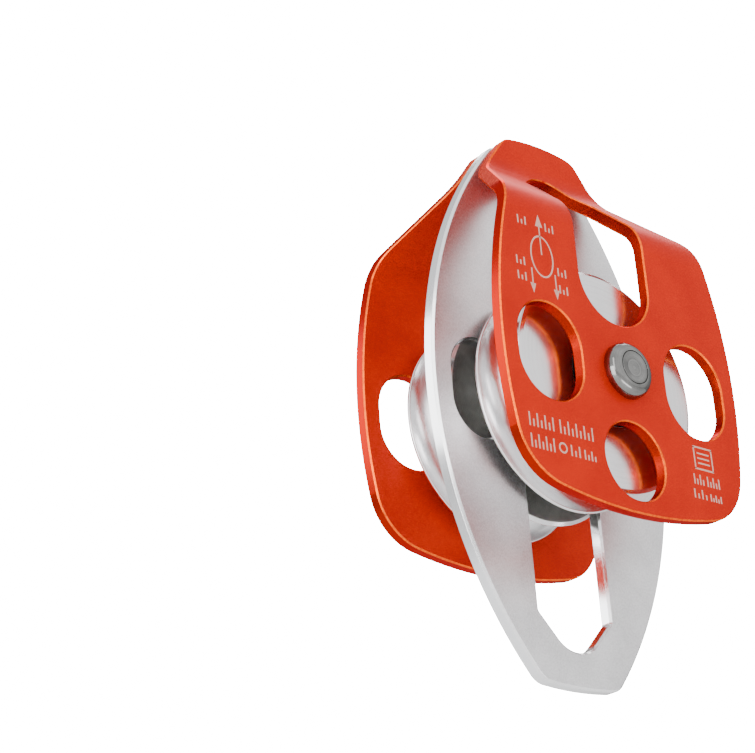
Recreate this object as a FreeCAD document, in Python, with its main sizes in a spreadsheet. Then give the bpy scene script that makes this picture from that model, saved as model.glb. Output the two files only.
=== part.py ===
import FreeCAD, Part
import math
import os
import Sketcher

# Twin-sheave rope pulley with a becket.  Millimetres and degrees.
# X runs across the plates, Y along the axle from front to rear, Z up to the anchor eye.
# The origin is on the axle's centre line, in the mid plane of the middle plate.
SIZES = {
    # sheaves, made to suit the rope
    "rope_diameter": 15.0,
    "groove_ease": 0.1,
    "sheave_lip": 1.4,
    "sheave_radius": 31.2,
    "groove_rise": 0.5,
    "sheave_edge_drop": 1.0,
    "sheave_edge_width": 0.6,
    "sheave_lip_round": 0.4,
    "sheave_clearance": 2.85,
    # side plates: flat around the sheave, bent inwards towards the anchor eye
    "plate_gauge": 3.5,
    "plate_side_overhang": 12.0,
    "plate_foot_overhang": 8.1,
    "plate_widest_height": 2.0,
    "plate_side_radius": 135.0,
    "plate_foot_radius": 135.0,
    "plate_corner_radius": 17.0,
    "plate_shoulder_radius": 14.0,
    "plate_edge_chamfer": 0.4,
    "head_height": 78.8,
    "head_radius": 62.0,
    "head_corner_radius": 6.0,
    "head_waist_drop": 17.6,
    "head_waist_wall": 12.3,
    "head_slope": 36.5,
    "joggle_above_rim": 8.3,
    "joggle_slope": 47.0,
    "joggle_bend_radius": 10.0,
    "joggle_gap": 1.5,
    # middle plate: two large arcs, with an eye at each end
    "middle_gauge": 4.0,
    "middle_side_inset": 0.8,
    "middle_side_radius": 118.0,
    "middle_head_drop": 0.7,
    "middle_end_radius": 110.0,
    "middle_corner_radius": 6.0,
    "middle_edge_chamfer": 0.6,
    # eyes and windows
    "eye_half_width": 12.9,
    "eye_axle_wall": 8.6,
    "eye_shoulder_radius": 1.2,
    "anchor_shoulder_drop": 19.0,
    "anchor_crown_slope": 38.4,
    "anchor_crown_radius": 11.0,
    "becket_shoulder_drop": 19.3,
    "becket_crown_slope": 46.5,
    "becket_crown_radius": 9.0,
    "window_wall": 5.5,
    "window_radius": 11.1,
    "window_straight": 2.5,
    "foot_window_wall": 3.6,
    "foot_window_radius": 10.8,
    "middle_window_wall": 6.6,
    "middle_window_radius": 9.6,
    "middle_window_straight": 4.2,
    # axle, and the pieces threaded on it
    "axle_radius": 5.0,
    "axle_end_neck": 0.5,
    "axle_end_length": 1.8,
    "axle_end_dish": 0.35,
    "collar_height": 3.6,
    "collar_wall": 2.7,
    "collar_edge": 0.7,
    "collar_end_gap": 0.25,
    "collar_lip": 0.25,
    "spacer_wall": 1.5,
    "side_play": 0.1,
    "bore_play": 0.1,
    # ball bearings, one in each sheave, each held by a spring ring
    "bearing_radius": 13.0,
    "bearing_width": 8.0,
    "bearing_shoulder": 1.5,
    "ball_radius": 2.38,
    "race_shoulder": 0.58,
    "race_groove_ease": 0.07,
    "race_play": 0.01,
    "cage_side_clearance": 0.9,
    "cage_end_clearance": 0.2,
    "cage_pocket_play": 0.07,
    "seal_lip_clearance": 0.2,
    "seal_gauge": 0.8,
    "seal_recess": 0.2,
    "ring_gauge": 1.0,
    "ring_side_play": 0.05,
    "ring_groove_depth": 0.7,
    "ring_seat_play": 0.1,
    "ring_wall": 1.8,
    "ring_mouth": 6.0,
}


def fitted(s):
    """Sizes that follow from the ones above, because a piece fits or lines up with another."""
    fits = {}
    fits["groove_radius"] = s["rope_diameter"] / 2 + s["groove_ease"]
    fits["groove_centre_radius"] = s["sheave_radius"] - s["groove_rise"]
    fits["sheave_width"] = 2 * (fits["groove_radius"] + s["sheave_lip"])
    fits["plate_gap"] = fits["sheave_width"] + 2 * s["sheave_clearance"]
    fits["plate_half_width"] = s["sheave_radius"] + s["plate_side_overhang"]
    fits["plate_foot_depth"] = s["sheave_radius"] + s["plate_foot_overhang"]
    fits["head_waist_height"] = s["head_height"] - s["head_waist_drop"]
    fits["head_waist_half_width"] = s["eye_half_width"] + s["head_waist_wall"]
    fits["joggle_start"] = s["sheave_radius"] + s["joggle_above_rim"]
    fits["middle_half_width"] = fits["plate_half_width"] - s["middle_side_inset"]
    fits["middle_half_height"] = s["head_height"] - s["middle_head_drop"]
    fits["eye_arc_height"] = s["axle_radius"] + s["eye_axle_wall"] + s["eye_half_width"]
    fits["anchor_shoulder_height"] = s["head_height"] - s["anchor_shoulder_drop"]
    fits["becket_shoulder_height"] = fits["middle_half_height"] - s["becket_shoulder_drop"]
    fits["window_offset"] = fits["plate_half_width"] - s["window_wall"] - s["window_radius"]
    fits["foot_window_depth"] = (fits["plate_foot_depth"] - s["foot_window_wall"]
                                 - s["foot_window_radius"])
    fits["middle_window_offset"] = (fits["middle_half_width"] - s["middle_window_wall"]
                                    - s["middle_window_radius"])
    fits["plate_bore_radius"] = s["axle_radius"] + s["bore_play"]
    fits["axle_end_radius"] = s["axle_radius"] - s["axle_end_neck"]
    fits["collar_radius"] = s["axle_radius"] + s["collar_wall"]
    fits["collar_seat_radius"] = fits["axle_end_radius"] + s["collar_end_gap"]
    fits["collar_crown_radius"] = fits["collar_seat_radius"] + s["collar_lip"]
    fits["spacer_radius"] = s["axle_radius"] + s["spacer_wall"]
    fits["ball_circle"] = (s["axle_radius"] + s["bearing_radius"]) / 2
    land_offset = s["ball_radius"] - s["race_shoulder"]
    fits["inner_land_radius"] = fits["ball_circle"] - land_offset
    fits["outer_land_radius"] = fits["ball_circle"] + land_offset
    fits["race_groove_radius"] = s["ball_radius"] + s["race_groove_ease"]
    fits["cage_inner_radius"] = fits["inner_land_radius"] + s["cage_side_clearance"]
    fits["cage_outer_radius"] = fits["outer_land_radius"] - s["cage_side_clearance"]
    fits["cage_pocket_radius"] = s["ball_radius"] + s["cage_pocket_play"]
    fits["cage_width"] = s["bearing_width"] - 2 * (s["seal_recess"] + s["seal_gauge"]
                                                   + s["cage_end_clearance"])
    fits["seal_inner_radius"] = fits["inner_land_radius"] + s["seal_lip_clearance"]
    fits["bearing_stop_radius"] = s["bearing_radius"] - s["bearing_shoulder"]
    fits["ring_groove_radius"] = s["bearing_radius"] + s["ring_groove_depth"]
    fits["ring_groove_width"] = s["ring_gauge"] + 2 * s["ring_side_play"]
    fits["ring_outer_radius"] = fits["ring_groove_radius"] - s["ring_seat_play"]
    fits["ring_inner_radius"] = fits["ring_outer_radius"] - s["ring_wall"]
    return fits


BALL_COUNT = 7
HALF_TURN = FreeCAD.Rotation(FreeCAD.Vector(0, 0, 1), 180)
SAME = 1e-5      # lengths nearer than this are the same
SQUARE = 0.1     # a wall's normal leans less than this towards the axle

doc = FreeCAD.newDocument("rope_pulley")
sheet = doc.addObject("Spreadsheet::Sheet", "sizes")
for row, (alias, value) in enumerate((SIZES | fitted(SIZES)).items(), start=1):
    sheet.set(f"A{row}", alias)
    sheet.set(f"B{row}", str(round(value, 6)))
    sheet.setAlias(f"B{row}", alias)
doc.recompute()


def size(alias):
    """A driving dimension, read back from the sheet."""
    return float(sheet.get(alias))


# ---- plane geometry, as (x, y) pairs in a sketch ----

def point(pair):
    return FreeCAD.Vector(pair[0], pair[1], 0)


def along(start, direction, distance):
    return (start[0] + direction[0] * distance, start[1] + direction[1] * distance)


def segment(start, end):
    return Part.LineSegment(point(start), point(end))


def short_arc(centre, start, end):
    """The arc of less than half a turn from start to end about centre."""
    radius = math.dist(centre, start)
    first = math.atan2(start[1] - centre[1], start[0] - centre[0])
    last = math.atan2(end[1] - centre[1], end[0] - centre[0])
    if (last - first) % math.tau > math.pi:
        first, last = last, first
    return Part.ArcOfCircle(Part.Circle(point(centre), FreeCAD.Vector(0, 0, 1), radius), first, last)


def rounded_loop(corners):
    """A closed outline through corners (x, y, radius), each rounded to its radius."""
    turns = []
    for index, (x, y, radius) in enumerate(corners):
        before = corners[index - 1]
        after = corners[(index + 1) % len(corners)]
        back = FreeCAD.Vector(before[0] - x, before[1] - y, 0).normalize()
        ahead = FreeCAD.Vector(after[0] - x, after[1] - y, 0).normalize()
        half_angle = back.getAngle(ahead) / 2
        reach = radius / math.tan(half_angle)
        middle = (back + ahead).normalize()
        centre = along((x, y), middle, radius / math.sin(half_angle))
        turns.append((along((x, y), back, reach), centre, along((x, y), ahead, reach), radius))
    pieces = []
    for index, (start, centre, end, radius) in enumerate(turns):
        if radius > 0:
            pieces.append(short_arc(centre, start, end))
        following = turns[(index + 1) % len(turns)][0]
        if math.dist(end, following) > SAME:
            pieces.append(segment(end, following))
    return pieces


def polygon(corners):
    return [segment(start, end) for start, end in zip(corners, corners[1:] + corners[:1])]


def circles_meet(first, first_radius, second, second_radius, side):
    """Where two circles cross, on the given side (1 left, -1 right) of the line between them."""
    span = math.dist(first, second)
    run = (span ** 2 + first_radius ** 2 - second_radius ** 2) / (2 * span)
    rise = side * math.sqrt(first_radius ** 2 - run ** 2)
    unit = ((second[0] - first[0]) / span, (second[1] - first[1]) / span)
    return (first[0] + unit[0] * run - unit[1] * rise, first[1] + unit[1] * run + unit[0] * rise)


def line_meets_circle(start, direction, centre, radius, side):
    """Where a line crosses a circle: side -1 is the crossing met first along it, 1 the other."""
    offset = (centre[0] - start[0], centre[1] - start[1])
    run = offset[0] * direction[0] + offset[1] * direction[1]
    gap = offset[0] * direction[1] - offset[1] * direction[0]
    return along(start, direction, run + side * math.sqrt(radius ** 2 - gap ** 2))


def push_out(centre, through, radius):
    """The point at radius from centre, in the direction of another point."""
    reach = math.dist(centre, through)
    unit = ((through[0] - centre[0]) / reach, (through[1] - centre[1]) / reach)
    return along(centre, unit, radius)


def mirrored(pair):
    return (-pair[0], pair[1])


def mirror_loop(spans, top_centre, foot_centre):
    """A closed outline from its right half.

    spans run upwards from the foot arc's end to the top arc's start, each as
    (centre or None for a straight, start, end).
    """
    foot_end = spans[0][1]
    top_start = spans[-1][2]
    loop = [short_arc(foot_centre, mirrored(foot_end), foot_end)]
    for centre, start, end in spans:
        loop.append(short_arc(centre, start, end) if centre else segment(start, end))
    loop.append(short_arc(top_centre, top_start, mirrored(top_start)))
    for centre, start, end in reversed(spans):
        if centre:
            loop.append(short_arc(mirrored(centre), mirrored(end), mirrored(start)))
        else:
            loop.append(segment(mirrored(end), mirrored(start)))
    return loop


# ---- sketches and features ----

def new_body(label):
    body = doc.addObject("PartDesign::Body", label)
    body.Label = label
    return body


def new_sketch(body, name, role):
    sketch = body.newObject("Sketcher::SketchObject", name)
    plane = next(item for item in body.Origin.OriginFeatures if item.Role == role)
    sketch.AttachmentSupport = (plane, [""])
    sketch.MapMode = "FlatFace"
    return sketch


def bind(sketch, constraint, name, expression):
    index = sketch.addConstraint(constraint)
    sketch.renameConstraint(index, name)
    sketch.setExpression(f"Constraints.{name}", expression)


def add_loop(sketch, pieces, radii=()):
    """Add a closed chain, join its ends, and bind arcs whose radius is a cell of the sheet."""
    first = sketch.GeometryCount
    for piece in pieces:
        sketch.addGeometry(piece, False)
    last = sketch.GeometryCount - 1
    for index in range(first, last + 1):
        following = first if index == last else index + 1
        for end in (1, 2):
            for start in (1, 2):
                gap = sketch.getPoint(index, end) - sketch.getPoint(following, start)
                if gap.Length < SAME:
                    sketch.addConstraint(Sketcher.Constraint("Coincident", index, end, following, start))
    for index in range(first, last + 1):
        shape = sketch.Geometry[index]
        if not isinstance(shape, Part.ArcOfCircle):
            continue
        for alias in radii:
            if abs(shape.Radius - size(alias)) < SAME:
                bind(sketch, Sketcher.Constraint("Radius", index, shape.Radius),
                     f"{alias}_{index}", f"sizes.{alias}")
                break


def add_circle(sketch, radius_alias, depth_alias=None):
    """A circle on the centre line, its radius and its depth below the axle bound to the sheet."""
    depth = size(depth_alias) if depth_alias else 0.0
    circle = Part.Circle(point((0, -depth)), FreeCAD.Vector(0, 0, 1), size(radius_alias))
    index = sketch.addGeometry(circle, False)
    bind(sketch, Sketcher.Constraint("Radius", index, size(radius_alias)),
         f"{radius_alias}_{index}", f"sizes.{radius_alias}")
    if depth_alias is None:
        sketch.addConstraint(Sketcher.Constraint("Coincident", index, 3, -1, 1))
    else:
        sketch.addConstraint(Sketcher.Constraint("PointOnObject", index, 3, -2))
        bind(sketch, Sketcher.Constraint("DistanceY", index, 3, -1, 1, depth),
             f"{depth_alias}_{index}", f"sizes.{depth_alias}")


def cut_through(body, name, sketch):
    pocket = body.newObject("PartDesign::Pocket", name)
    pocket.Profile = sketch
    pocket.SideType = "Symmetric"
    pocket.Type = "ThroughAll"
    return pocket


def turn(body, sketch):
    """Revolve a sketch of (along the axle, radius) about the axle."""
    revolution = body.newObject("PartDesign::Revolution", "turned")
    revolution.Profile = sketch
    revolution.ReferenceAxis = (sketch, ["H_Axis"])
    revolution.Angle = 360
    return revolution


def place(item, side, distance):
    """Stand a piece at a distance from the mid plane; front pieces are turned half round."""
    sign = "-" if side == "front" else ""
    if side == "front":
        item.Placement = FreeCAD.Placement(FreeCAD.Vector(0, 0, 0), HALF_TURN)
    item.setExpression("Placement.Base.y", f"{sign}({distance})")


# Distances from the mid plane of the middle plate, as expressions on the sheet.
MIDDLE_FACE = "sizes.middle_gauge / 2"
SHEAVE_CENTRE = f"{MIDDLE_FACE} + sizes.plate_gap / 2"
PLATE_OUTER_FACE = f"{MIDDLE_FACE} + sizes.plate_gap + sizes.plate_gauge"


# ---- plates ----

def window_loop(kind, sign):
    """An upright slot with round ends, level with the axle."""
    offset = sign * size(f"{kind}_offset")
    radius = size(f"{kind}_radius")
    top = size(f"{kind}_straight") + radius
    return rounded_loop([(offset - radius, -top, radius), (offset + radius, -top, radius),
                         (offset + radius, top, radius), (offset - radius, top, radius)])


def eye_loop(kind, direction):
    """An eye: a half-round end near the sheave, straight sides and a crown with shoulders."""
    half = size("eye_half_width")
    shoulder = size(f"{kind}_shoulder_height")
    slope = math.radians(size(f"{kind}_crown_slope"))
    apex = shoulder + half * math.tan(slope)
    near = size("eye_arc_height") - half
    corner = size("eye_shoulder_radius")
    return rounded_loop([(-half, direction * near, half), (half, direction * near, half),
                         (half, direction * shoulder, corner),
                         (0, direction * apex, size(f"{kind}_crown_radius")),
                         (-half, direction * shoulder, corner)])


def side_plate_outline():
    half = size("plate_half_width")
    side_radius = size("plate_side_radius")
    side_centre = (half - side_radius, size("plate_widest_height"))
    foot_radius = size("plate_foot_radius")
    foot_centre = (0.0, foot_radius - size("plate_foot_depth"))
    head_radius = size("head_radius")
    head_centre = (0.0, size("head_height") - head_radius)
    # lower corner, inside both the foot arc and the side arc
    corner_radius = size("plate_corner_radius")
    corner_centre = circles_meet(foot_centre, foot_radius - corner_radius,
                                 side_centre, side_radius - corner_radius, 1)
    corner_start = push_out(foot_centre, corner_centre, foot_radius)
    corner_end = push_out(side_centre, corner_centre, side_radius)
    # the straight slope from the shoulder to the head leans inwards as it climbs
    lean = math.radians(size("head_slope"))
    climb = (-math.sin(lean), math.cos(lean))
    inward = (-math.cos(lean), -math.sin(lean))
    waist = (size("head_waist_half_width"), size("head_waist_height"))
    shoulder_radius = size("plate_shoulder_radius")
    shoulder_centre = line_meets_circle(along(waist, inward, shoulder_radius), climb,
                                        side_centre, side_radius - shoulder_radius, -1)
    shoulder_start = push_out(side_centre, shoulder_centre, side_radius)
    shoulder_end = along(shoulder_centre, inward, -shoulder_radius)
    head_corner = size("head_corner_radius")
    head_corner_centre = line_meets_circle(along(waist, inward, head_corner), climb,
                                           head_centre, head_radius - head_corner, 1)
    head_start = along(head_corner_centre, inward, -head_corner)
    head_end = push_out(head_centre, head_corner_centre, head_radius)
    spans = [(corner_centre, corner_start, corner_end),
             (side_centre, corner_end, shoulder_start),
             (shoulder_centre, shoulder_start, shoulder_end),
             (None, shoulder_end, head_start),
             (head_corner_centre, head_start, head_end)]
    return mirror_loop(spans, head_centre, foot_centre)


def middle_plate_outline():
    side_radius = size("middle_side_radius")
    side_centre = (size("middle_half_width") - side_radius, 0.0)
    end_radius = size("middle_end_radius")
    head_centre = (0.0, size("middle_half_height") - end_radius)
    foot_centre = (0.0, -head_centre[1])
    corner = size("middle_corner_radius")
    upper = circles_meet(head_centre, end_radius - corner, side_centre, side_radius - corner, -1)
    lower = (upper[0], -upper[1])
    upper_start = push_out(side_centre, upper, side_radius)
    upper_end = push_out(head_centre, upper, end_radius)
    spans = [(lower, (upper_end[0], -upper_end[1]), (upper_start[0], -upper_start[1])),
             (side_centre, (upper_start[0], -upper_start[1]), upper_start),
             (upper, upper_start, upper_end)]
    return mirror_loop(spans, head_centre, foot_centre)


def joggle_section():
    """The side plate's section: outer face at 0, bent inwards (towards -y) above the sheave."""
    gauge = size("plate_gauge")
    bend = size("joggle_bend_radius")
    slope = math.radians(size("joggle_slope"))
    depth = size("plate_gap") - size("joggle_gap")
    start = size("joggle_start")
    foot = -size("plate_foot_depth") - gauge
    straight = (depth - (2 * bend + gauge) * (1 - math.cos(slope))) / math.sin(slope)
    climb = (-math.sin(slope), math.cos(slope))
    outward = (math.cos(slope), math.sin(slope))
    lower_centre = (-gauge - bend, start)
    outer_lower = along(lower_centre, outward, bend + gauge)
    inner_lower = along(lower_centre, outward, bend)
    outer_upper = along(outer_lower, climb, straight)
    inner_upper = along(inner_lower, climb, straight)
    upper_centre = along(outer_upper, outward, bend)
    outer_top = (upper_centre[0] - bend, upper_centre[1])
    inner_top = (upper_centre[0] - bend - gauge, upper_centre[1])
    head = outer_top[1] + size("head_height")
    return [segment((0, foot), (0, start)),
            short_arc(lower_centre, (0, start), outer_lower),
            segment(outer_lower, outer_upper),
            short_arc(upper_centre, outer_upper, outer_top),
            segment(outer_top, (outer_top[0], head)),
            segment((outer_top[0], head), (inner_top[0], head)),
            segment((inner_top[0], head), inner_top),
            short_arc(upper_centre, inner_top, inner_upper),
            segment(inner_upper, inner_lower),
            short_arc(lower_centre, inner_lower, (-gauge, start)),
            segment((-gauge, start), (-gauge, foot)),
            segment((-gauge, foot), (0, foot))]


def frame_loop(section):
    """A rectangle that runs past the bent blank on every side."""
    margin = size("plate_gauge")
    half_width = size("plate_half_width") + 2 * margin
    foot = min(piece.StartPoint.y for piece in section) - margin
    head = max(piece.StartPoint.y for piece in section) + margin
    return polygon([(-half_width, foot), (half_width, foot), (half_width, head), (-half_width, head)])


def is_skin(face):
    """True on a plate's broad faces and bends; its walls all stand square to the flat faces."""
    u_low, u_high, v_low, v_high = face.ParameterRange
    normal = face.normalAt((u_low + u_high) / 2, (v_low + v_high) / 2)
    return abs(normal.y) > SQUARE


def skin_edges(shape):
    """Names of the edges between a skin face and a wall of the outline or of a window."""
    names = []
    for index, edge in enumerate(shape.Edges, start=1):
        on_skin = [is_skin(face) for face in shape.ancestorsOfType(edge, Part.Face)]
        if sorted(on_skin) == [False, True]:
            names.append(f"Edge{index}")
    return names


def make_side_plate(side):
    body = new_body(f"{side}_side_plate")
    section = new_sketch(body, "section", "YZ_Plane")
    add_loop(section, joggle_section(), ("joggle_bend_radius",))
    blank = body.newObject("PartDesign::Pad", "bent_blank")
    blank.Profile = section
    blank.SideType = "Symmetric"
    blank.setExpression("Length", "2 * sizes.plate_half_width + 2 * sizes.plate_gauge")

    outline = new_sketch(body, "outline", "XZ_Plane")
    add_loop(outline, side_plate_outline(),
             ("plate_side_radius", "plate_foot_radius", "plate_corner_radius",
              "plate_shoulder_radius", "head_corner_radius", "head_radius"))
    add_loop(outline, frame_loop(joggle_section()))
    cut_through(body, "profiled", outline)

    openings = new_sketch(body, "openings", "XZ_Plane")
    add_loop(openings, eye_loop("anchor", 1), ("eye_half_width", "anchor_crown_radius"))
    for sign in (-1, 1):
        add_loop(openings, window_loop("window", sign), ("window_radius",))
    add_circle(openings, "foot_window_radius", "foot_window_depth")
    add_circle(openings, "plate_bore_radius")
    pierced = cut_through(body, "windows", openings)
    doc.recompute()

    chamfer = body.newObject("PartDesign::Chamfer", "broken_edges")
    chamfer.Base = (pierced, skin_edges(pierced.Shape))
    chamfer.setExpression("Size", "sizes.plate_edge_chamfer")
    body.Tip = chamfer
    place(body, side, PLATE_OUTER_FACE)
    return body


def make_middle_plate():
    body = new_body("middle_plate")
    outline = new_sketch(body, "outline", "XZ_Plane")
    add_loop(outline, middle_plate_outline(),
             ("middle_side_radius", "middle_end_radius", "middle_corner_radius"))
    blank = body.newObject("PartDesign::Pad", "blank")
    blank.Profile = outline
    blank.SideType = "Symmetric"
    blank.setExpression("Length", "sizes.middle_gauge")

    openings = new_sketch(body, "openings", "XZ_Plane")
    add_loop(openings, eye_loop("anchor", 1), ("eye_half_width", "anchor_crown_radius"))
    add_loop(openings, eye_loop("becket", -1), ("eye_half_width", "becket_crown_radius"))
    for sign in (-1, 1):
        add_loop(openings, window_loop("middle_window", sign), ("middle_window_radius",))
    add_circle(openings, "axle_radius")
    pierced = cut_through(body, "windows", openings)
    doc.recompute()

    chamfer = body.newObject("PartDesign::Chamfer", "broken_edges")
    chamfer.Base = (pierced, skin_edges(pierced.Shape))
    chamfer.setExpression("Size", "sizes.middle_edge_chamfer")
    body.Tip = chamfer
    return body


# ---- turned pieces ----

def make_ring(label, side, inner, outer, length, distance):
    """A plain ring about the axle, every size an expression on the sheet."""
    body = new_body(label)
    sketch = new_sketch(body, "section", "YZ_Plane")
    # drawn roughly first, then sized by its constraints
    rough_length, rough_inner, rough_outer = 4.0, 5.0, 9.0
    add_loop(sketch, polygon([(0, rough_inner), (rough_length, rough_inner),
                              (rough_length, rough_outer), (0, rough_outer)]))
    for index, kind in enumerate(("Horizontal", "Vertical", "Horizontal", "Vertical")):
        sketch.addConstraint(Sketcher.Constraint(kind, index))
    sketch.addConstraint(Sketcher.Constraint("PointOnObject", 3, 1, -2))
    bind(sketch, Sketcher.Constraint("Distance", 0, rough_length), "length", length)
    bind(sketch, Sketcher.Constraint("DistanceY", -1, 1, 3, 2, rough_inner), "inner", inner)
    bind(sketch, Sketcher.Constraint("DistanceY", -1, 1, 3, 1, rough_outer), "outer", outer)
    turn(body, sketch)
    place(body, side, distance)
    return body


def make_turned(label, side, distance, pieces, radii=()):
    """A turned piece from its own section, as (along the axle, radius)."""
    body = new_body(label)
    sketch = new_sketch(body, "section", "YZ_Plane")
    add_loop(sketch, pieces, radii)
    turn(body, sketch)
    if side:
        place(body, side, distance)
    return body


def make_sheave(side):
    half = size("sheave_width") / 2
    rim = size("sheave_radius")
    drop = size("sheave_edge_drop")
    edge = size("sheave_edge_width")
    groove = size("groove_radius")
    centre = (0.0, size("groove_centre_radius"))
    mouth = math.sqrt(groove ** 2 - (rim - centre[1]) ** 2)
    seat = size("bearing_width") / 2
    bore = size("bearing_radius")
    shoulder = size("bearing_stop_radius")
    clip = size("ring_groove_radius")
    clip_end = seat + size("ring_groove_width")
    root = (0.0, centre[1] - groove)
    corners = [(mouth, rim), (half - edge, rim), (half, rim - drop), (half, bore), (clip_end, bore),
               (clip_end, clip), (seat, clip), (seat, bore), (-seat, bore), (-seat, shoulder),
               (-half, shoulder), (-half, rim - drop), (edge - half, rim), (-mouth, rim)]
    pieces = [segment(start, end) for start, end in zip(corners, corners[1:])]
    pieces.append(short_arc(centre, (-mouth, rim), root))
    pieces.append(short_arc(centre, root, (mouth, rim)))
    body = make_turned(f"{side}_sheave", side, SHEAVE_CENTRE, pieces, ("groove_radius",))
    doc.recompute()
    turned = body.Tip
    lips = []
    for index, edge_shape in enumerate(turned.Shape.Edges, start=1):
        curve = edge_shape.Curve
        if isinstance(curve, Part.Circle) and abs(curve.Radius - rim) < SAME:
            if abs(abs(edge_shape.Vertexes[0].Y) - mouth) < SAME:
                lips.append(f"Edge{index}")
    fillet = body.newObject("PartDesign::Fillet", "rounded_lips")
    fillet.Base = (turned, lips)
    fillet.setExpression("Radius", "sizes.sheave_lip_round")
    body.Tip = fillet
    return body


def make_axle():
    """A plain pin with a neck at each end that holds the collar, and slightly dished ends."""
    reach = (size("middle_gauge") / 2 + size("plate_gap") + size("plate_gauge")
             + size("side_play") + size("collar_height"))
    head = reach - size("axle_end_length")
    radius = size("axle_radius")
    end_radius = size("axle_end_radius")
    dish = size("axle_end_dish")
    corners = [(-reach + dish, 0), (reach - dish, 0), (reach - dish, end_radius / 2),
               (reach, end_radius - dish), (reach, end_radius), (head, end_radius), (head, radius),
               (-head, radius), (-head, end_radius), (-reach, end_radius),
               (-reach, end_radius - dish), (-reach + dish, end_radius / 2)]
    return make_turned("axle", None, None, polygon(corners))


def make_collar(side):
    """A domed collar: a short straight edge, a round dome and a stepped bore for the axle's end."""
    height = size("collar_height")
    base = size("collar_radius")
    edge = size("collar_edge")
    crown = size("collar_crown_radius")
    bore = size("axle_radius")
    seat = size("collar_seat_radius")
    step = height - size("axle_end_length")
    corners = [(height, crown), (height, seat), (step, seat), (step, bore), (0, bore), (0, base),
               (edge, base)]
    pieces = [segment(start, end) for start, end in zip(corners, corners[1:])]
    rise = height - edge
    fall = base - crown
    dome = (rise ** 2 + fall ** 2) / (2 * fall)
    pieces.append(short_arc((edge, base - dome), (edge, base), (height, crown)))
    return make_turned(f"{side}_axle_collar", side,
                       f"{PLATE_OUTER_FACE} + sizes.side_play", pieces)


def make_bearing(side):
    """Races, cage, balls, two seals and the ring that holds them in the sheave."""
    half = size("bearing_width") / 2
    groove = size("race_groove_radius")
    ball = size("ball_radius")
    circle = size("ball_circle")
    play = size("race_play")
    made = []

    land = size("inner_land_radius")
    centre = (0.0, circle - ball - play + groove)
    reach = math.sqrt(groove ** 2 - (centre[1] - land) ** 2)
    bore = size("axle_radius")
    pieces = [segment((reach, land), (half, land)), segment((half, land), (half, bore)),
              segment((half, bore), (-half, bore)), segment((-half, bore), (-half, land)),
              segment((-half, land), (-reach, land)),
              short_arc(centre, (-reach, land), (reach, land))]
    made.append(make_turned(f"{side}_bearing_inner_race", side, SHEAVE_CENTRE, pieces,
                            ("race_groove_radius",)))

    land = size("outer_land_radius")
    centre = (0.0, circle + ball + play - groove)
    reach = math.sqrt(groove ** 2 - (land - centre[1]) ** 2)
    outer = size("bearing_radius")
    pieces = [segment((reach, land), (half, land)), segment((half, land), (half, outer)),
              segment((half, outer), (-half, outer)), segment((-half, outer), (-half, land)),
              segment((-half, land), (-reach, land)),
              short_arc(centre, (-reach, land), (reach, land))]
    made.append(make_turned(f"{side}_bearing_outer_race", side, SHEAVE_CENTRE, pieces,
                            ("race_groove_radius",)))

    made.append(make_cage(side))
    for index in range(BALL_COUNT):
        angle = 360 / BALL_COUNT * index
        sphere = doc.addObject("Part::Sphere", f"{side}_bearing_ball_{index + 1}")
        sphere.Label = f"{side}_bearing_ball_{index + 1}"
        sphere.setExpression("Radius", "sizes.ball_radius")
        sphere.setExpression("Placement.Base.x", f"sizes.ball_circle * sin({angle} deg)")
        sphere.setExpression("Placement.Base.z", f"sizes.ball_circle * cos({angle} deg)")
        sign = "-" if side == "front" else ""
        sphere.setExpression("Placement.Base.y", f"{sign}({SHEAVE_CENTRE})")
        made.append(sphere)

    reach = "sizes.bearing_width / 2 - sizes.seal_recess"
    made.append(make_ring(f"{side}_bearing_inner_seal", side, "sizes.seal_inner_radius",
                          "sizes.outer_land_radius", "sizes.seal_gauge",
                          f"{SHEAVE_CENTRE} - ({reach})"))
    made.append(make_ring(f"{side}_bearing_outer_seal", side, "sizes.seal_inner_radius",
                          "sizes.outer_land_radius", "sizes.seal_gauge",
                          f"{SHEAVE_CENTRE} + ({reach}) - sizes.seal_gauge"))
    made.append(make_retaining_ring(side))
    return made


def make_cage(side):
    body = new_body(f"{side}_bearing_cage")
    half = size("cage_width") / 2
    inner = size("cage_inner_radius")
    outer = size("cage_outer_radius")
    section = new_sketch(body, "section", "YZ_Plane")
    add_loop(section, polygon([(-half, inner), (half, inner), (half, outer), (-half, outer)]))
    turn(body, section)
    hole = new_sketch(body, "pocket_hole", "XY_Plane")
    add_circle(hole, "cage_pocket_radius")
    pocket = body.newObject("PartDesign::Pocket", "ball_pocket")
    pocket.Profile = hole
    pocket.Reversed = True
    pocket.Type = "Length"
    pocket.setExpression("Length", "2 * sizes.cage_outer_radius")
    pattern = body.newObject("PartDesign::PolarPattern", "ball_pockets")
    pattern.Originals = [pocket]
    pattern.Axis = (section, ["H_Axis"])
    pattern.Angle = 360
    pattern.Occurrences = BALL_COUNT
    body.Tip = pattern
    place(body, side, SHEAVE_CENTRE)
    return body


def make_retaining_ring(side):
    """A spring ring with a mouth, in the sheave's groove against the outer race."""
    body = make_ring(f"{side}_retaining_ring", side, "sizes.ring_inner_radius",
                     "sizes.ring_outer_radius", "sizes.ring_gauge",
                     f"{SHEAVE_CENTRE} + sizes.bearing_width / 2 + sizes.ring_side_play")
    mouth = new_sketch(body, "mouth", "XZ_Plane")
    half = size("ring_mouth") / 2
    reach = size("ring_groove_radius")
    add_loop(mouth, polygon([(-half, -reach), (half, -reach), (half, 0), (-half, 0)]))
    body.Tip = cut_through(body, "mouth_cut", mouth)
    return body


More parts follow.
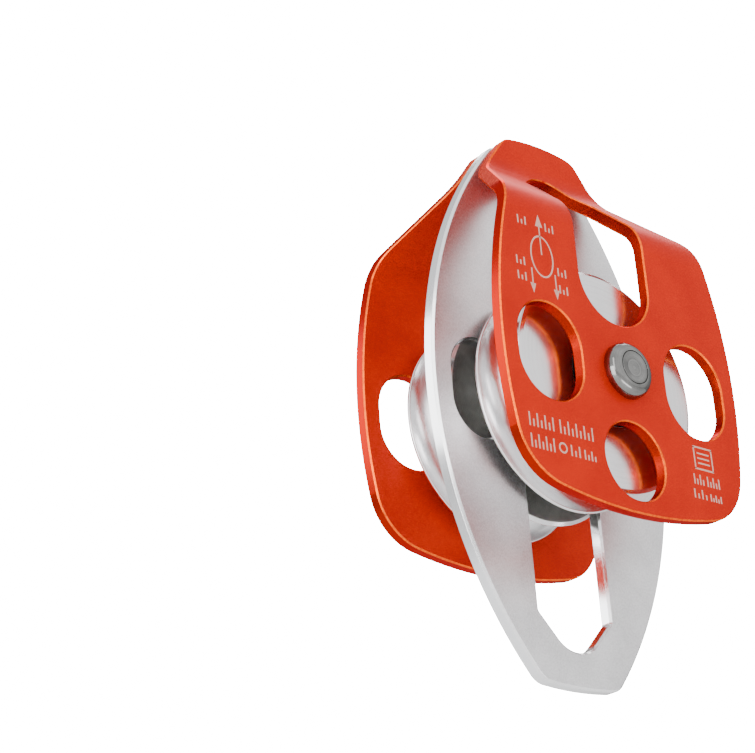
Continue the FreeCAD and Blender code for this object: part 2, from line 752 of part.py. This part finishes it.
made = [make_middle_plate(), make_axle()]
for side in ("front", "rear"):
    made.append(make_side_plate(side))
    made.append(make_sheave(side))
    made.append(make_collar(side))
    made.append(make_ring(f"{side}_inner_spacer", side, "sizes.axle_radius", "sizes.spacer_radius",
                          "(sizes.plate_gap - sizes.bearing_width) / 2", MIDDLE_FACE))
    made.append(make_ring(f"{side}_outer_spacer", side, "sizes.axle_radius", "sizes.spacer_radius",
                          "(sizes.plate_gap - sizes.bearing_width) / 2 - sizes.side_play",
                          f"{SHEAVE_CENTRE} + sizes.bearing_width / 2"))
    made.extend(make_bearing(side))
doc.recompute()

faulty = [item.Label for item in doc.Objects if "Invalid" in item.State or "Error" in item.State]
for item in made:
    if item.Shape.isNull() or not item.Shape.isValid() or len(item.Shape.Solids) != 1:
        faulty.append(item.Label)
if faulty:
    raise RuntimeError(f"these objects failed: {sorted(set(faulty))}")

os.makedirs("parts", exist_ok=True)
for item in made:
    item.Shape.exportStep(f"parts/{item.Label}.step")
    box = item.Shape.BoundBox
    print(f"{item.Label}: {item.Shape.Volume:.1f} mm3, "
          f"x {box.XMin:.2f} {box.XMax:.2f}, y {box.YMin:.2f} {box.YMax:.2f}, "
          f"z {box.ZMin:.2f} {box.ZMax:.2f}")
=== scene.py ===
import math

import bmesh
import bpy
from mathutils import Matrix, Vector


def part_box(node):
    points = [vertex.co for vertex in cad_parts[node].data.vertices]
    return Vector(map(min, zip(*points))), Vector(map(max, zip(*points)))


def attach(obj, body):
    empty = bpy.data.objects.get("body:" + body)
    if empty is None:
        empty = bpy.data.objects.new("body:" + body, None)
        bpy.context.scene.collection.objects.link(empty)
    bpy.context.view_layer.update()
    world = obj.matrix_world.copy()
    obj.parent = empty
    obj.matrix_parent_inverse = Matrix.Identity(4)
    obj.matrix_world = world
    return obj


# Looks of the rope pulley.  Metres, in the frame of the part: X across the plates,
# Y along the axle from front to rear, Z up to the anchor eye.
MM = 0.001
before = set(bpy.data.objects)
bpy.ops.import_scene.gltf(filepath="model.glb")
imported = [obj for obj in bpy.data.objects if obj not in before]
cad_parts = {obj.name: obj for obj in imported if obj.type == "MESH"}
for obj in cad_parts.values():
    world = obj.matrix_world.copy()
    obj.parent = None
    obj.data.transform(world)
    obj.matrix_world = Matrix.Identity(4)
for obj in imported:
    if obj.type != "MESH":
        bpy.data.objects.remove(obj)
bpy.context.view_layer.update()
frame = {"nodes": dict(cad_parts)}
nodes = frame["nodes"]


# ---- shader maths ----

class Socket:
    """A node's output.  Arithmetic on it adds Math nodes to its shader."""

    def __init__(self, nodes, output):
        self.nodes = nodes
        self.output = output

    def maths(self, operation, *values):
        return self.nodes.node("Math", dict(enumerate(values)), operation=operation)

    def __add__(self, other):
        return self.maths("ADD", self, other)

    def __radd__(self, other):
        return self.maths("ADD", other, self)

    def __sub__(self, other):
        return self.maths("SUBTRACT", self, other)

    def __rsub__(self, other):
        return self.maths("SUBTRACT", other, self)

    def __mul__(self, other):
        return self.maths("MULTIPLY", self, other)

    def __rmul__(self, other):
        return self.maths("MULTIPLY", other, self)

    def size(self):
        return self.maths("ABSOLUTE", self)

    def ramp(self, low, high):
        """0 below low, 1 above high, smooth between."""
        inputs = {"Value": self, "From Min": low, "From Max": high}
        return self.nodes.node("MapRange", inputs, interpolation_type="SMOOTHSTEP")


class Nodes:
    """A shader's nodes under construction."""

    def __init__(self, owner):
        owner.use_nodes = True
        self.tree = owner.node_tree

    def first(self, kind):
        return next(node for node in self.tree.nodes if node.type == kind)

    def feed(self, target, value):
        if isinstance(value, Socket):
            self.tree.links.new(value.output, target)
        else:
            target.default_value = value

    def node(self, kind, inputs=None, output=0, **settings):
        """Adds a node: its settings first, then its inputs, by name or number."""
        made = self.tree.nodes.new("ShaderNode" + kind)
        for setting, value in settings.items():
            setattr(made, setting, value)
        for name, value in (inputs or {}).items():
            self.feed(made.inputs[name], value)
        return Socket(self, made.outputs[output])


class Finish(Nodes):
    """A material, built up from its patterns."""

    def __init__(self, name):
        self.material = bpy.data.materials.new(name)
        super().__init__(self.material)
        self.shader = self.first("BSDF_PRINCIPLED")

    def place(self):
        return self.node("TexCoord", output="Object")

    def normal(self):
        return self.node("NewGeometry", output="True Normal")

    def axis(self, vector, letter):
        return self.node("SeparateXYZ", {"Vector": vector}, output=letter)

    def noise(self, vector, size, detail=2.0, roughness=0.5):
        """A noise from 0 to 1 whose features are about size across, in metres."""
        inputs = {"Vector": vector, "Scale": 1 / size, "Detail": detail, "Roughness": roughness}
        return self.node("TexNoise", inputs)

    def blend(self, factor, first, second):
        """A colour between two colours."""
        inputs = {"Factor": factor, 6: first, 7: second}
        return self.node("Mix", inputs, output=2, data_type="RGBA")

    def bump(self, height, distance, strength, soft_edge=0.0):
        """A bump of that height, over edges softened to the given radius."""
        inputs = {"Height": height, "Distance": distance, "Strength": strength}
        if soft_edge:
            inputs["Normal"] = self.node("Bevel", {"Radius": soft_edge}, samples=6)
        return self.node("Bump", inputs)

    def set(self, **values):
        """Sets the shader's sockets: set(base_color=..., coat_weight=...)."""
        for name, value in values.items():
            self.feed(self.shader.inputs[name.replace("_", " ").title()], value)
        return self.material


def dress(material, *names):
    """Gives CAD nodes their finish."""
    for name in names:
        mesh = nodes[name].data
        mesh.materials.clear()
        mesh.materials.append(material)


def both_sides(*names):
    return [f"{side}_{name}" for side in ("front", "rear") for name in names]


# ---- finishes ----

ORANGE = {
    "deep": (0.46, 0.006, 0.0002, 1),
    "light": (0.62, 0.016, 0.0003, 1),
    # edge: the broken edges' colour, a painted highlight mixed with wear, also used for the
    # painted glint specks
    "edge": (1.0, 0.14, 0.004, 1),
    # wall: the cut walls' colour, a darker orange than the faces, as painted shade
    "wall": (0.30, 0.010, 0.0004, 1),
    "tint": (1.0, 0.20, 0.06, 1),
    "grain_size": 0.36 * MM,
    "metal": 0.45,
    "rough": 0.40,
}
SILVER = {
    "deep": (0.70, 0.69, 0.70, 1),
    "light": (0.97, 0.96, 0.97, 1),
    # edge: the broken edges' colour, a painted highlight mixed with wear, also used for the
    # painted glint specks
    "edge": (0.97, 0.97, 0.98, 1),
    "wall": (0.95, 0.96, 0.98, 1),
    "tint": (1, 1, 1, 1),
    "grain_size": 0.42 * MM,
    "metal": 1.0,
    "rough": 0.30,
}
SHEAVE_METAL = {
    "dark": (0.78, 0.77, 0.78, 1),
    "light": (0.92, 0.91, 0.92, 1),
    "rough": 0.13,
    "line_size": 0.10 * MM,
    "line_depth": 0.003 * MM,
}
STAINLESS = {
    "dark": (0.11, 0.11, 0.107, 1),
    "light": (0.30, 0.298, 0.29, 1),
    "rough": 0.06,
    "line_size": 0.08 * MM,
    "line_depth": 0.002 * MM,
}
# painted shade for the sheaves' inner cheeks, which face the gap between them
CHEEK_SHADE_GREY = (0.30, 0.30, 0.28, 1)
BEND_STARTS = 0.66   # of a side plate's height: above this it may bend towards its head

# Ramps on how squarely a face looks along an axis, from 0 for not at all to 1 for square on.
WALL_RAMP = (0.05, 0.25)         # along Y: walls of the outline and the windows lie below it
EDGE_LOW_RAMP = (0.3, 0.5)       # along Y: broken edges lie between this one and the next
EDGE_HIGH_RAMP = (0.85, 0.97)
BEND_RAMP = (0.02, 0.06)         # along X: bends lie below it


def edge_highlight_mask(finish, place, bend_low, bend_high):
    """1 on the broken edges of a plate, where the painted highlight goes: faces that lean, but
    not the bends towards the head.
    """
    normal = finish.normal()
    lean = finish.axis(normal, "Y").size()
    broken = lean.ramp(*EDGE_LOW_RAMP) * (1 - lean.ramp(*EDGE_HIGH_RAMP))
    flat_across = 1 - finish.axis(normal, "X").size().ramp(*BEND_RAMP)
    height = finish.axis(place, "Z")
    in_bend = height.ramp(bend_low - MM, bend_low) * (1 - height.ramp(bend_high, bend_high + MM))
    return broken * (1 - flat_across * in_bend)


def wall_mask(finish):
    """1 on the walls of a plate's outline and windows."""
    return 1 - finish.axis(finish.normal(), "Y").size().ramp(*WALL_RAMP)


def anodised_plate(name, bend, deep, light, edge, wall, tint, grain_size, metal, rough):
    """Bead-blasted, anodised aluminium plate: its broken edges are painted brighter, a painted
    highlight mixed with scuffed wear; its cut walls are glossier and have a colour of their own,
    a painted shade on the orange plate; fine specks carry a painted glint.
    """
    sparkle_size = grain_size * 0.45
    cloud_size = 14 * MM
    scuff_size = 0.8 * MM
    grain_height = 0.010 * MM
    soft_edge = 0.20 * MM
    finish = Finish(name)
    place = finish.place()
    grain = finish.noise(place, grain_size, detail=3.0, roughness=0.65)
    sparkle = finish.noise(place, sparkle_size, detail=1.0).ramp(0.60, 0.74)
    cloud = finish.noise(place, cloud_size, detail=3.0)
    edges = edge_highlight_mask(finish, place, *bend)
    walls = wall_mask(finish)
    tone = (grain * 0.75 + cloud * 0.55 - 0.15).ramp(0.25, 0.75)
    face = finish.blend(tone, deep, light)
    # painted glint: fine sparkle specks tinted towards the bright edge colour
    face = finish.blend(sparkle * 0.25, face, edge)
    # painted shade: the walls of the outline and windows take the wall colour, on the orange
    # plate a darker orange
    face = finish.blend(walls * 0.8, face, wall)
    scuffs = finish.noise(place, scuff_size, detail=4.0).ramp(0.35, 0.6)
    # painted highlight on the broken edges, mixed with real scuffed wear
    colour = finish.blend(edges * (0.55 + 0.45 * scuffs), face, edge)
    metallic = metal + (1 - metal) * 0.8 * walls.maths("MAXIMUM", walls, edges)
    smooth = 0.20 * edges + 0.22 * walls
    roughness = rough + 0.10 * grain + 0.04 * cloud - smooth
    normal = finish.bump(grain + 0.5 * sparkle, grain_height, 0.5, soft_edge)
    return finish.set(base_color=colour, metallic=metallic, roughness=roughness, normal=normal,
                      specular_tint=tint)


def turned_metal(name, dark, light, rough, line_size, line_depth, shaded_within=0.0):
    """Lathe-turned metal: fine rings about the axle, and grey, duller cheeks near the mid plane
    as painted shade.
    """
    cloud_size = 5 * MM
    shade_fade = 0.1 * MM
    soft_edge = 0.12 * MM
    finish = Finish(name)
    place = finish.place()
    across = finish.node("VectorMath", {0: place, 1: (1, 0, 1)}, operation="MULTIPLY")
    radius = finish.node("VectorMath", {0: across}, output="Value", operation="LENGTH")
    rings = finish.node("CombineXYZ", {"X": radius, "Y": finish.axis(place, "Y")})
    lines = finish.noise(rings, line_size, detail=3.0, roughness=0.6)
    wide_lines = finish.noise(rings, line_size * 6)
    cloud = finish.noise(place, cloud_size, detail=3.0)
    tone = (lines * 0.5 + wide_lines * 0.3 + cloud * 0.3).ramp(0.35, 0.75)
    colour = finish.blend(tone, dark, light)
    roughness = rough + 0.08 * lines + 0.06 * cloud
    if shaded_within:
        # painted shade: cheeks close to the mid plane are greyed and dulled
        distance = finish.axis(place, "Y").size()
        cheek_shade = 1 - distance.ramp(shaded_within, shaded_within + shade_fade)
        colour = finish.blend(cheek_shade * (0.75 + 0.25 * cloud), colour, CHEEK_SHADE_GREY)
        roughness = roughness + 0.25 * cheek_shade
    normal = finish.bump(lines, line_depth, 0.5, soft_edge)
    return finish.set(base_color=colour, metallic=1.0, roughness=roughness, normal=normal)


def ground_steel(name, dark, light, rough):
    """Ground and polished steel with faint smears of oil."""
    smear_size = 1.2 * MM
    scratch_size = 0.06 * MM
    scratch_height = 0.002 * MM
    finish = Finish(name)
    place = finish.place()
    smear = finish.noise(place, smear_size, detail=4.0)
    scratches = finish.noise(place, scratch_size)
    colour = finish.blend(smear.ramp(0.3, 0.7), dark, light)
    roughness = rough + 0.10 * smear
    normal = finish.bump(scratches, scratch_height, 0.4)
    return finish.set(base_color=colour, metallic=1.0, roughness=roughness, normal=normal)


def seal_rubber():
    """Black rubber with a faint grey bloom and fine pores."""
    bloom_size = 0.9 * MM
    pore_size = 0.12 * MM
    pore_height = 0.01 * MM
    finish = Finish("seal_rubber")
    place = finish.place()
    bloom = finish.noise(place, bloom_size, detail=4.0)
    pores = finish.noise(place, pore_size)
    colour = finish.blend(bloom, (0.010, 0.010, 0.011, 1), (0.030, 0.030, 0.032, 1))
    normal = finish.bump(pores, pore_height, 0.5)
    return finish.set(base_color=colour, roughness=0.55 + 0.2 * bloom, normal=normal)


def laser_mark():
    """Anodising burnt away by a laser: pale, slightly frosted aluminium."""
    frost_size = 0.18 * MM
    frost_height = 0.01 * MM
    finish = Finish("laser_mark")
    frost = finish.noise(finish.place(), frost_size, detail=3.0, roughness=0.7)
    colour = finish.blend(frost, (0.50, 0.20, 0.13, 1), (0.84, 0.54, 0.45, 1))
    normal = finish.bump(frost, frost_height, 0.4)
    return finish.set(base_color=colour, metallic=0.35, roughness=0.5 + 0.15 * frost,
                      normal=normal)


def dress_pulley():
    """Gives every CAD node its finish."""
    plate_low, plate_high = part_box("front_side_plate")
    bend = (plate_low.z + BEND_STARTS * (plate_high.z - plate_low.z), plate_high.z)
    # how far the inner cheeks of both sheaves lie from the mid plane, and a hair more
    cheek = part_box("rear_sheave")[0].y + 0.02 * MM
    orange = anodised_plate("orange_anodised", bend, **ORANGE)
    silver = anodised_plate("silver_anodised", bend, **SILVER)
    # the sheaves' inner cheeks get the painted shade
    sheave = turned_metal("turned_aluminium", shaded_within=cheek, **SHEAVE_METAL)
    stainless = turned_metal("turned_stainless", **STAINLESS)
    bearing = ground_steel("bearing_steel", (0.55, 0.55, 0.56, 1), (0.72, 0.72, 0.73, 1), 0.12)
    spring = ground_steel("spring_steel", (0.10, 0.10, 0.11, 1), (0.26, 0.26, 0.27, 1), 0.30)
    dress(orange, *both_sides("side_plate"))
    dress(silver, "middle_plate")
    dress(sheave, *both_sides("sheave"))
    dress(stainless, "axle", *both_sides("axle_collar", "inner_spacer", "outer_spacer"))
    balls = [name for name in nodes if "_bearing_ball_" in name]
    dress(bearing, *balls, *both_sides("bearing_inner_race", "bearing_outer_race"))
    dress(spring, *both_sides("bearing_cage", "retaining_ring"))
    dress(seal_rubber(), *both_sides("bearing_inner_seal", "bearing_outer_seal"))


# ---- marks on the front plate ----

class Marks:
    """Flat marks on the outer face of the front plate; x and z in millimetres from the axle."""

    proud = 0.015 * MM
    sunk = 0.03 * MM
    stroke = 0.5         # of rings, ticks and frames, in millimetres
    fine_stroke = 0.45   # of the arrows' shafts and the bars in the badge
    short_tick = 0.55    # of a tall tick's height

    def __init__(self, face):
        self.mesh = bmesh.new()
        self.face = face
        self.depth = self.proud + self.sunk

    def spot(self, x, z):
        return Matrix.Translation((x * MM, self.face + (self.sunk - self.proud) / 2, z * MM))

    def bar(self, x, z, width, height):
        """An upright or level bar centred at x, z."""
        scale = Matrix.Diagonal((width * MM, self.depth, height * MM, 1))
        bmesh.ops.create_cube(self.mesh, size=1, matrix=self.spot(x, z) @ scale)

    def ring(self, x, z, half_width, half_height, segments):
        """An oval ring of the usual stroke, given by the half sizes of its hole."""
        outline = bmesh.ops.create_circle(self.mesh, segments=segments, radius=1)["verts"]
        edges = list({edge for vert in outline for edge in vert.link_edges})
        grown = bmesh.ops.extrude_edge_only(self.mesh, edges=edges)["geom"]
        outer = [item for item in grown if isinstance(item, bmesh.types.BMVert)]
        stand = Matrix.Rotation(math.radians(90), 4, "X")
        for verts, extra in ((outline, 0.0), (outer, self.stroke)):
            scale = Matrix.Diagonal(((half_width + extra) * MM, (half_height + extra) * MM, 1, 1))
            bmesh.ops.transform(self.mesh, matrix=self.spot(x, z) @ stand @ scale, verts=verts)
        faces = list({face for vert in outer for face in vert.link_faces})
        wall = bmesh.ops.extrude_face_region(self.mesh, geom=faces)["geom"]
        back = [item for item in wall if isinstance(item, bmesh.types.BMVert)]
        bmesh.ops.translate(self.mesh, verts=back, vec=(0, self.depth / 2, 0))
        front = [vert for vert in outline + outer if vert.is_valid]
        bmesh.ops.translate(self.mesh, verts=front, vec=(0, -self.depth / 2, 0))

    def point(self, x, z, width, height, up=True):
        """An arrow's head, its tip at x, z."""
        stand = Matrix.Rotation(math.radians(90), 4, "X")
        spin = Matrix.Rotation(math.radians(0 if up else 180), 4, "Y")
        # a three-sided prism of radius 1 is 1.5 high and the root of 3 wide
        scale = Matrix.Diagonal((width / math.sqrt(3) * MM, 1, height / 1.5 * MM, 1))
        middle = z - height * 2 / 3 if up else z + height * 2 / 3
        bmesh.ops.create_cone(self.mesh, cap_ends=True, segments=3, radius1=1, radius2=1,
                              depth=self.depth,
                              matrix=self.spot(x, middle) @ spin @ scale @ stand)

    def ticks(self, left, foot, width, height, count):
        """A word's worth of upright ticks, every other one about half as tall."""
        pitch = width / (count - 1)
        for index in range(count):
            tall = height if index % 2 == 0 else height * self.short_tick
            self.bar(left + index * pitch, foot + tall / 2, self.stroke, tall)

    def finish(self, name, material):
        """Makes the marks a piece that rides on the front plate."""
        bmesh.ops.recalc_face_normals(self.mesh, faces=self.mesh.faces)
        mesh = bpy.data.meshes.new(name)
        self.mesh.to_mesh(mesh)
        self.mesh.free()
        mesh.materials.append(material)
        piece = bpy.data.objects.new(name, mesh)
        bpy.context.scene.collection.objects.link(piece)
        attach(piece, "front_plate")


def mark_pull(face, material):
    """A plain pull diagram: an oval ring, an arrow up from it and one down on each side."""
    middle = -26.4
    down_arrows = (-30.6, -22.3)
    labels = ((-33.8, 34.6), (-24.0, 34.6), (-35.6, 22.4), (-21.0, 22.4), (-35.6, 18.0),
              (-21.0, 17.4))
    pull = Marks(face)
    pull.ring(middle, 26.6, 3.6, 5.6, segments=40)
    pull.bar(middle, 31.4, pull.fine_stroke, 8.6)
    pull.point(middle, 38.9, 2.6, 3.6)
    for x in down_arrows:
        pull.bar(x, 19.9, pull.fine_stroke, 5.0)
        pull.point(x, 15.2, 2.0, 2.8, up=False)
    for x, z in labels:
        pull.ticks(x, z, 2.6, 2.4, 3)
    pull.finish("pull_marks", material)


def mark_rows(face, material):
    """Two rows of ticks, with a small ring among the lower ones."""
    rows = Marks(face)
    rows.ticks(-36.9, -22.7, 8.0, 3.7, 7)
    rows.ticks(-26.4, -22.7, 11.2, 3.7, 9)
    rows.ticks(-36.9, -28.4, 7.6, 3.7, 7)
    rows.ring(-26.2, -26.6, 1.0, 1.0, segments=24)
    rows.ticks(-23.3, -28.2, 2.8, 3.0, 3)
    rows.ticks(-18.6, -28.2, 3.6, 2.6, 4)
    rows.finish("rope_marks", material)


def mark_badge(face, material):
    """A framed box of three bars, above two rows of ticks."""
    middle = 26.3
    badge = Marks(face)
    for x in (22.9, 29.7):
        badge.bar(x, -19.3, badge.stroke, 6.2)
    for z in (-16.2, -22.4):
        badge.bar(middle, z, 7.3, badge.stroke)
    for z in (-17.9, -19.3, -20.7):
        badge.bar(middle, z, 4.6, badge.fine_stroke)
    badge.ticks(21.8, -27.0, 3.4, 2.9, 4)
    badge.ticks(26.9, -27.0, 4.4, 2.9, 5)
    badge.ticks(21.2, -31.0, 4.4, 2.6, 4)
    badge.ticks(27.4, -31.0, 3.9, 2.0, 5)
    badge.finish("badge_marks", material)


def mark_front_plate():
    """Plain marks where the maker would put a diagram and words."""
    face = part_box("front_side_plate")[0].y
    material = laser_mark()
    mark_pull(face, material)
    mark_rows(face, material)
    mark_badge(face, material)


# ---- studio ----

LOOK_AZIMUTH = math.radians(-40.76)
LOOK_ELEVATION = math.radians(-23.68)
LOOK_ROLL = math.radians(-4.06)
LENS = 97.1
SENSOR = 36.0
CAMERA_DISTANCE = 531.3 * MM   # from a point on the axle, close to the front plate's outer face
AIM_FACE = -29.2 * MM          # where on the axle that point lies
AIM_RIGHT = -64.64 * MM        # the lens axis passes this far to the right of that point
AIM_UP = -1.15 * MM            # and this far above it

BRIGHT_SIDE = (-0.60, -0.60, 0.50)   # the cove is brightest towards here
DIMMEST = 0.30                       # the cove's strength on the metal, at its darkest
BRIGHTENING = 1.2                    # added to that at its brightest
BACKDROP = 24.0                      # its strength as the camera sees it

FLOOR_HEIGHT = -0.32   # below the axle
FLOOR_REACH = 4        # from its middle to each side
FLOOR_GLOW = 1.8
WHITE = (1, 1, 1, 1)
BLACK = (0, 0, 0, 1)

# each softbox's place, width, height and watts
SOFTBOXES = {
    "key_softbox": ((0.60, -0.70, 0.40), 0.8, 0.8, 0.7),
    "left_softbox": ((-0.85, -0.30, -0.05), 0.6, 0.5, 6.0),
    "left_strip": ((-0.67, -0.58, 0.36), 0.20, 0.7, 1.5),
    "low_strip": ((0.02, -0.45, -0.29), 0.4, 0.10, 0.5),
    "rear_left_softbox": ((-0.62, 0.66, 0.36), 0.5, 0.5, 3.5),
    "top_softbox": ((0.45, 0.30, 0.85), 0.7, 0.5, 5.0),
}


def set_camera():
    """Hangs the camera low and to the left, looking up at the front plate."""
    back = Vector((math.sin(LOOK_AZIMUTH) * math.cos(LOOK_ELEVATION),
                   -math.cos(LOOK_AZIMUTH) * math.cos(LOOK_ELEVATION), math.sin(LOOK_ELEVATION)))
    level = Vector((0, 0, 1)).cross(back).normalized()
    upright = back.cross(level)
    right = level * math.cos(LOOK_ROLL) + upright * math.sin(LOOK_ROLL)
    up = upright * math.cos(LOOK_ROLL) - level * math.sin(LOOK_ROLL)
    spot = Vector((0, AIM_FACE, 0)) + right * AIM_RIGHT + up * AIM_UP + back * CAMERA_DISTANCE
    lens = bpy.data.cameras.new("camera")
    lens.lens = LENS
    lens.sensor_width = SENSOR
    camera = bpy.data.objects.new("camera", lens)
    turn = Matrix((right, up, back)).transposed().to_4x4()
    camera.matrix_world = Matrix.Translation(spot) @ turn
    bpy.context.scene.collection.objects.link(camera)
    bpy.context.scene.camera = camera


def softbox(name, spot, width, height, power):
    """A rectangular light at spot, pointing at the middle of the pulley."""
    light = bpy.data.lights.new(name, "AREA")
    light.shape = "RECTANGLE"
    light.size = width
    light.size_y = height
    light.energy = power
    item = bpy.data.objects.new(name, light)
    turn = Vector(spot).to_track_quat("Z", "Y").to_matrix().to_4x4()
    item.matrix_world = Matrix.Translation(spot) @ turn
    bpy.context.scene.collection.objects.link(item)


def light_studio():
    """A white cove: bright to the eye, softer on the metal, with softboxes for the highlights."""
    world = bpy.data.worlds.new("white_cove")
    bpy.context.scene.world = world
    cove = Nodes(world)
    direction = cove.node("TexCoord", output="Generated")
    turned = cove.node("VectorMath", {0: direction, 1: Vector(BRIGHT_SIDE).normalized()},
                       output="Value", operation="DOT_PRODUCT")
    glow = DIMMEST + BRIGHTENING * turned.ramp(-0.75, 0.85)
    seen = cove.node("LightPath", output="Is Camera Ray")
    ambient = cove.first("BACKGROUND")
    ambient.inputs["Color"].default_value = WHITE
    cove.feed(ambient.inputs["Strength"], seen * BACKDROP + (1 - seen) * glow)
    for name, box in SOFTBOXES.items():
        softbox(name, *box)


def lay_floor():
    """A plain pale floor, well below the hanging pulley."""
    shape = bmesh.new()
    bmesh.ops.create_grid(shape, x_segments=1, y_segments=1, size=FLOOR_REACH)
    bmesh.ops.translate(shape, verts=shape.verts, vec=(0, 0, FLOOR_HEIGHT))
    mesh = bpy.data.meshes.new("floor")
    shape.to_mesh(mesh)
    shape.free()
    finish = Finish("floor")
    seen = finish.node("LightPath", output="Is Camera Ray")
    shine = finish.blend(seen, BLACK, WHITE)
    mesh.materials.append(finish.set(base_color=(0.86, 0.86, 0.86, 1), roughness=0.8,
                                     emission_color=shine, emission_strength=FLOOR_GLOW))
    floor = bpy.data.objects.new("floor", mesh)
    bpy.context.scene.collection.objects.link(floor)


set_camera()
dress_pulley()
mark_front_plate()
light_studio()
lay_floor()
